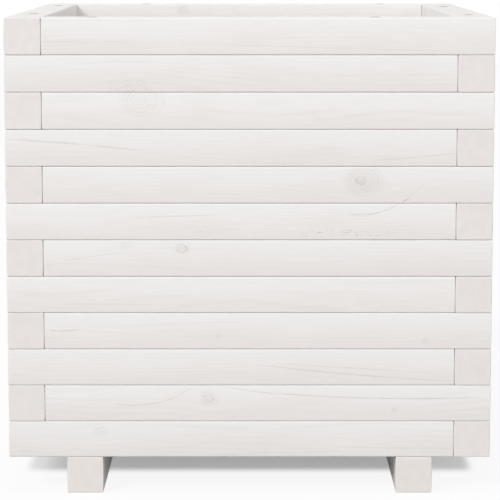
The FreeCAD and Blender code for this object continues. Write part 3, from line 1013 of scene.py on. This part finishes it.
def drawn_marks(dice, size):
    """Marks for a board that the photograph doesn't show, drawn at random."""
    knots = [
        (dice.uniform(-0.42, 0.42) * size.x, dice.uniform(-0.4, 0.4) * size.z,
         dice.uniform(*KNOT_RADII) * MM, dice.uniform(0.3, 0.8), dice.uniform(0.0, 0.7))
        for _ in range(dice.choice((0, 0, 1, 1, 2)))]
    streaks = [
        (dice.uniform(-0.4, 0.4) * size.x, dice.uniform(-0.4, 0.4) * size.z,
         dice.uniform(*STREAK_HALVES) * MM, dice.uniform(-0.06, 0.06), dice.uniform(-0.4, 0.4),
         dice.uniform(0.15, 0.7))
        for _ in range(2)]
    return {"knots": knots, "streaks": streaks, "specks": None}


def mark_inputs(marks):
    """The marks as the vectors that the board's geometry tree takes."""
    nothing = (0.0, 0.0, 0.0)
    knots = (marks["knots"] + [(*nothing, 0.0, 0.0)] * 2)[:2]
    streaks = (marks["streaks"] + [(*nothing, *nothing)] * 2)[:2]
    specks = marks["specks"] or (*nothing, 0.0)
    return {
        "Knot A": knots[0][:3], "Knot B": knots[1][:3],
        "Streak A": streaks[0][:3], "Streak B": streaks[1][:3],
        "Bend A": streaks[0][3:], "Bend B": streaks[1][3:],
        "Specks": specks[:3], "Ring Tones": (knots[0][3], knots[1][3], specks[3]),
        "Heart Tones": (knots[0][4], knots[1][4], 0.0),
    }


def make_boards(scene, boards, start, wood_name, tint):
    """Makes a group of boards, numbered on from the start so that each has timber of its own."""
    sizes = scene.planter_timber
    wood = pine_material(wood_name, scene.planter_colours, sizes.ring_spacing, tint)
    tree = board_tree()
    pieces = {}
    for number, board in enumerate(boards, start=start):
        dice = random.Random(sizes.seed * SEED_STEP + number)
        cells = [max(round(side / cell), 2) + 2 * EDGE_CELLS
                 for side, cell in zip(board.size, (CELL, CROSS_CELL, CROSS_CELL))]
        marks = board.marks or drawn_marks(dice, board.size)
        turn = dice.uniform(0.0, 2.0 * math.pi)
        away = dice.uniform(*PITH_DISTANCES) * MM
        inputs = {
            "Size": board.size, "Cells": cells, "Gaps": board.gaps,
            "Edge Round": (sizes.end_round, sizes.edge_round, sizes.edge_round),
            "Crown": sizes.crown if board.crowned else 0.0,
            "Unevenness": sizes.unevenness, "Seed": float(number),
            "Pith": (0.0, away * math.cos(turn), away * math.sin(turn)),
            "Middle": node_middle(board.node), "Turn": board.turn, "Wood": wood,
            **mark_inputs(marks),
        }
        piece = grow(f"{board.node}_timber", board.hole_points(), tree, inputs)
        pieces[piece] = board.node
    settle(pieces)


def beam_node(wall, course):
    """Name of the solid of a wall beam."""
    return f"{wall}_beam_{course:02d}"


def beam_size(wall, course):
    """Length, width and height of a wall beam."""
    box = node_size(beam_node(wall, course))
    axis, _ = WALLS[wall]
    return Vector((box.x, box.y, box.z) if axis == "x" else (box.y, box.x, box.z))


def beam_turn(wall, course):
    """How a wall beam is turned: its own length starts at the corner that it covers."""
    axis, side = WALLS[wall]
    handing = 1 if course % 2 == 0 else -1
    if axis == "x":
        return (1 - side * handing) * QUARTER_TURN
    return -side * handing * QUARTER_TURN


def beam_screws(size, screws):
    """Distances of the screws that hold a beam down, from its covering end."""
    return size.y + screws.butt + screws.stagger, size.x - screws.butt


def screw_hole(diameter):
    """Radius of the hole that a screw passes through."""
    return diameter / 2 + SHANK_CLEARANCE


def tight_hole(diameter):
    """Radius of the hole that a screw bites into or a dowel is pressed into."""
    return diameter / 2 + BITE_CLEARANCE


def sunk_hole(diameter, sink):
    """Radius at the face of the cone that takes a screw head."""
    return diameter / 2 + sink + BITE_CLEARANCE


def through(thickness):
    """Depth of a hole that goes right through a board."""
    return thickness * (1.0 + CUT_OVERRUN)


def wall_beam(wall, course, sizes, screws):
    """One wall beam as it lies in the planter."""
    size = beam_size(wall, course)
    dowel = tight_hole(screws.dowel_diameter)
    dowel_depth = screws.dowel_length / 2 + DOWEL_END_CLEARANCE
    pilot = tight_hole(screws.shank_diameter)
    holes = []
    if course < COURSE_COUNT:
        for along in (size.y + screws.butt, size.x - screws.butt - screws.stagger):
            holes.append(Hole(along, pilot, screws.pilot_depth))
        holes.append(Hole(size.y / 2, dowel, dowel_depth))
    if course > 1:
        holes.append(Hole(size.y / 2, dowel, dowel_depth, facing=DOWN))
        for along in beam_screws(size, screws):
            holes.append(Hole(along, screw_hole(screws.shank_diameter), through(size.z),
                              sink=sunk_hole(screws.head_diameter, screws.head_sink)))
    elif WALLS[wall][0] == "x":
        outside = CAD_BOX[1].x
        for foot in (outside - foot_middle(), outside + foot_middle()):
            for aside in (-screws.foot_spread / 2, screws.foot_spread / 2):
                holes.append(Hole(foot, pilot, screws.pilot_depth, aside=aside, facing=DOWN))
    gaps = (sizes.joint_gap, 0.0, sizes.course_gap)
    board = Board(beam_node(wall, course), size, beam_turn(wall, course), holes, gaps)
    table = {"front": FRONT_MARKS, "back": BACK_MARKS}.get(wall, {}).get(course)
    if table:
        board.marks = own_marks(board, table)
    return board


def foot_middle():
    """Distance of a foot rail's middle line from the planter's."""
    return node_middle("right_foot").x


def foot_screw_places(screws):
    """Distances of a foot rail's four own screws from its front end."""
    rail = node_size("right_foot").y
    beam = node_size("left_beam_01").x
    near = (beam / 2 - screws.foot_spread / 2, beam / 2 + screws.foot_spread / 2)
    return near + tuple(rail - place for place in near)


def foot_rail(node, screws):
    """One foot rail as it lies under the planter."""
    box = node_size(node)
    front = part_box(node)[0].y
    pilot = tight_hole(screws.slat_shank_diameter)
    holes = [Hole(node_middle(slat).y - front, pilot, screws.slat_pilot_depth)
             for slat in SLAT_NAMES]
    for along in foot_screw_places(screws):
        holes.append(Hole(along, screw_hole(screws.shank_diameter), through(box.z), facing=DOWN,
                          sink=sunk_hole(screws.head_diameter, screws.head_sink)))
    return Board(node, Vector((box.y, box.x, box.z)), QUARTER_TURN, holes)


def floor_slat(node, screws):
    """One floor slat as it lies on the foot rails."""
    size = node_size(node)
    holes = [Hole(size.x / 2 + foot, screw_hole(screws.slat_shank_diameter), through(size.z),
                  sink=sunk_hole(screws.slat_head_diameter, screws.head_sink))
             for foot in (-foot_middle(), foot_middle())]
    return Board(node, size, 0.0, holes, crowned=False)


def make_screws(node, places, facing, length, head, shank, pitch, steel):
    """Makes one group of screws, at the places of their heads."""
    mesh = point_mesh(node, places, {"facing": [facing] * len(places)})
    inputs = {"Length": length, "Head Diameter": head, "Shank Diameter": shank,
              "Thread Pitch": pitch, "Steel": steel}
    settle({grow(f"{node}_steel", mesh, screw_tree(), inputs): node})


def along_beam(wall, course, along):
    """The point of a beam's middle line at that distance from its covering end."""
    turn = beam_turn(wall, course)
    run = along - beam_size(wall, course).x / 2
    heading = Vector((math.cos(turn), math.sin(turn), 0.0))
    return node_middle(beam_node(wall, course)) + heading * run


class WallTimber(bpy.types.Operator):
    """Make the forty-eight wall beams"""

    bl_idname = "planter.wall_timber"
    bl_label = "Wall beams"

    def execute(self, context):
        scene = context.scene
        boards = [wall_beam(wall, course, scene.planter_timber, scene.planter_fasteners)
                  for course in range(1, COURSE_COUNT + 1) for wall in WALLS]
        make_boards(scene, boards, FIRST_WALL_BOARD,
                    "whitewashed pine", WALL_TINT)
        return {"FINISHED"}


class FootTimber(bpy.types.Operator):
    """Make the two foot rails"""

    bl_idname = "planter.foot_timber"
    bl_label = "Foot rails"

    def execute(self, context):
        scene = context.scene
        boards = [foot_rail(node, scene.planter_fasteners) for node in FOOT_NAMES]
        make_boards(scene, boards, FIRST_FOOT_BOARD,
                    "whitewashed pine of the feet", FOOT_TINT)
        return {"FINISHED"}


class FloorTimber(bpy.types.Operator):
    """Make the five floor slats"""

    bl_idname = "planter.floor_timber"
    bl_label = "Floor slats"

    def execute(self, context):
        scene = context.scene
        boards = [floor_slat(node, scene.planter_fasteners) for node in SLAT_NAMES]
        make_boards(scene, boards, FIRST_FLOOR_BOARD,
                    "whitewashed pine of the floor", FLOOR_TINT)
        return {"FINISHED"}


class Screws(bpy.types.Operator):
    """Make the wall screws, the foot screws and the slat screws"""

    bl_idname = "planter.screws"
    bl_label = "Screws"

    def execute(self, context):
        screws = context.scene.planter_fasteners
        steel = steel_material(context.scene.planter_colours)
        sink = Vector((0.0, 0.0, screws.head_sink))
        head, shank, pitch = screws.head_diameter, screws.shank_diameter, screws.thread_pitch
        wall_places = []
        for course in range(2, COURSE_COUNT + 1):
            for wall in WALLS:
                size = beam_size(wall, course)
                top = Vector((0.0, 0.0, size.z / 2))
                for along in beam_screws(size, screws):
                    wall_places.append(along_beam(wall, course, along) + top - sink)
        make_screws("wall_screws", wall_places, UP, screws.wall_screw_length, head, shank, pitch,
                    steel)
        foot_places = [
            Vector((node_middle(foot).x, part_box(foot)[0].y + along, 0.0)) + sink
            for foot in FOOT_NAMES for along in foot_screw_places(screws)]
        make_screws("foot_screws", foot_places, DOWN, screws.wall_screw_length, head, shank, pitch,
                    steel)
        slat_places = [
            Vector((side * foot_middle(), node_middle(slat).y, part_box(slat)[1].z)) - sink
            for slat in SLAT_NAMES for side in (-1, 1)]
        make_screws("slat_screws", slat_places, UP, screws.slat_screw_length,
                    screws.slat_head_diameter, screws.slat_shank_diameter, pitch, steel)
        return {"FINISHED"}


class CornerDowels(bpy.types.Operator):
    """Make the dowels in the lapped corners"""

    bl_idname = "planter.corner_dowels"
    bl_label = "Corner dowels"

    def execute(self, context):
        screws = context.scene.planter_fasteners
        beam = node_size("left_beam_01")
        low = Vector((0.0, 0.0, -beam.z / 2))
        places = [along_beam(wall, course, beam.x / 2) + low
                  for course in range(2, COURSE_COUNT + 1) for wall in WALLS]
        mesh = point_mesh("corner_dowels", places, {})
        inputs = {"Length": screws.dowel_length, "Diameter": screws.dowel_diameter,
                  "Bevel": screws.dowel_diameter * BEVEL_SHARE,
                  "Beech": beech_material(context.scene.planter_colours)}
        dowels = grow("corner_dowels_beech", mesh, dowel_tree(), inputs)
        settle({dowels: "corner_dowels"})
        return {"FINISHED"}


def make_camera(studio):
    """A camera a little above the planter's rim, looking a little down."""
    lens = bpy.data.cameras.new("camera")
    lens.lens = studio.lens
    lens.shift_y = studio.shift
    camera = bpy.data.objects.new("camera", lens)
    camera.location = (CAMERA_ASIDE, CAD_BOX[0].y - studio.camera_distance, studio.camera_height)
    camera.rotation_euler = (QUARTER_TURN - studio.camera_tilt, 0.0, 0.0)
    bpy.context.scene.collection.objects.link(camera)
    bpy.context.scene.camera = camera


def make_lamp(name, power, width, place):
    """A round soft lamp that shines at the middle of the planter."""
    lamp = bpy.data.lights.new(name, "AREA")
    lamp.shape = "DISK"
    lamp.size = width
    lamp.energy = power
    holder = bpy.data.objects.new(name, lamp)
    holder.location = place
    target = (CAD_BOX[0] + CAD_BOX[1]) / 2
    holder.rotation_euler = (target - holder.location).to_track_quat("-Z", "Y").to_euler()
    bpy.context.scene.collection.objects.link(holder)


def seen_directly(wiring):
    """One for what the camera, a mirror or a clear piece looks at, nothing for light itself."""
    path = wiring.node("ShaderNodeLightPath", {}).outputs
    camera, mirror, clear = (Value(wiring, path[f"Is {kind} Ray"])
                             for kind in ("Camera", "Glossy", "Transmission"))
    return wiring.work("MAXIMUM", wiring.work("MAXIMUM", camera, mirror), clear)


def make_surroundings(studio):
    """Soft light from all around, weaker from above, and plain white where the camera looks."""
    world = bpy.data.worlds.new("studio")
    world.use_nodes = True
    bpy.context.scene.world = world
    wiring = Wiring(world.node_tree)
    background = world.node_tree.nodes["Background"].inputs
    height = wiring.add("ShaderNodeTexCoord", output="Generated").split()[2]
    light = height.fade(0.2, 1.0, studio.sky, studio.sky_overhead)
    wiring.feed(background["Strength"], seen_directly(wiring).fade(0.0, 1.0, light, 1.0))
    background["Color"].default_value = WHITE


def under_planter(wiring):
    """One on the floor between the slats, nothing outside the walls and at the front."""
    x, y, _ = wiring.add("ShaderNodeNewGeometry", output="Position").split()
    outside = CAD_BOX[1].x
    wall_middle = outside - node_size("right_beam_01").x / 2
    first_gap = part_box(SLAT_NAMES[0])[1].y
    return (wiring.work("ABSOLUTE", x).fade(outside, wall_middle) * y.fade(outside, wall_middle)
            * y.fade(first_gap - SHADE_RUN, first_gap))


def floor_material(studio):
    """Plain white with a part of the planter's shadow, and grey for the light that it throws."""
    material = bpy.data.materials.new("studio floor")
    material.use_nodes = True
    material.node_tree.nodes.clear()
    wiring = Wiring(material.node_tree)
    matt = wiring.add("ShaderNodeBsdfDiffuse", {"Color": FLOOR_WHITE})
    white = wiring.add("ShaderNodeEmission", {"Color": WHITE})
    show = under_planter(wiring).fade(0.0, 1.0, studio.floor_show, studio.shade_below)
    shown = wiring.add("ShaderNodeMixShader", {0: show, 1: white, 2: matt})
    bounce = wiring.add("ShaderNodeBsdfDiffuse", {"Color": (*[studio.floor_grey] * 3, 1.0)})
    surface = wiring.add("ShaderNodeMixShader", {0: seen_directly(wiring), 1: bounce, 2: shown})
    wiring.node("ShaderNodeOutputMaterial", {"Surface": surface})
    return material


def make_floor(studio):
    """A wide pale floor."""
    mesh = bpy.data.meshes.new("floor")
    corners = [(x * FLOOR_REACH, y * FLOOR_REACH, 0.0)
               for x, y in ((-1, -1), (1, -1), (1, 1), (-1, 1))]
    mesh.from_pydata(corners, [], [(0, 1, 2, 3)])
    mesh.materials.append(floor_material(studio))
    floor = bpy.data.objects.new("floor", mesh)
    bpy.context.scene.collection.objects.link(floor)


class Studio(bpy.types.Operator):
    """Make the camera, the lamps, the surroundings and the floor"""

    bl_idname = "planter.studio"
    bl_label = "Studio"

    def execute(self, context):
        studio = context.scene.planter_studio
        context.scene.view_settings.view_transform = "Standard"
        make_camera(studio)
        make_lamp("key lamp", studio.key, KEY_WIDTH, KEY_PLACE)
        make_lamp("fill lamp", studio.fill, FILL_WIDTH, FILL_PLACE)
        make_surroundings(studio)
        make_floor(studio)
        return {"FINISHED"}


SETTINGS = {
    "planter_timber": TimberSizes,
    "planter_fasteners": FastenerSizes,
    "planter_colours": FinishColours,
    "planter_studio": StudioSettings,
}
OPERATORS = (WallTimber, FootTimber, FloorTimber, Screws, CornerDowels, Studio)


class PlanterPanel(bpy.types.Panel):
    """Everything that the planter is made with"""

    bl_idname = "VIEW3D_PT_planter"
    bl_label = "Stacked beam planter"
    bl_space_type = "VIEW_3D"
    bl_region_type = "UI"
    bl_category = "Planter"

    def draw(self, context):
        for group in SETTINGS:
            settings = getattr(context.scene, group)
            box = self.layout.box()
            for name in settings.__annotations__:
                box.prop(settings, name)
        for operator in OPERATORS:
            self.layout.operator(operator.bl_idname)


CLASSES = (*SETTINGS.values(), *OPERATORS, PlanterPanel)


def register():
    for each in CLASSES:
        bpy.utils.register_class(each)
    for name, group in SETTINGS.items():
        setattr(bpy.types.Scene, name, PointerProperty(type=group))


def unregister():
    for name in SETTINGS:
        delattr(bpy.types.Scene, name)
    for each in reversed(CLASSES):
        bpy.utils.unregister_class(each)


def main():
    register()
    bpy.ops.planter.wall_timber()
    bpy.ops.planter.foot_timber()
    bpy.ops.planter.floor_timber()
    bpy.ops.planter.screws()
    bpy.ops.planter.corner_dowels()
    bpy.ops.planter.studio()


if __name__ == "__main__":
    main()
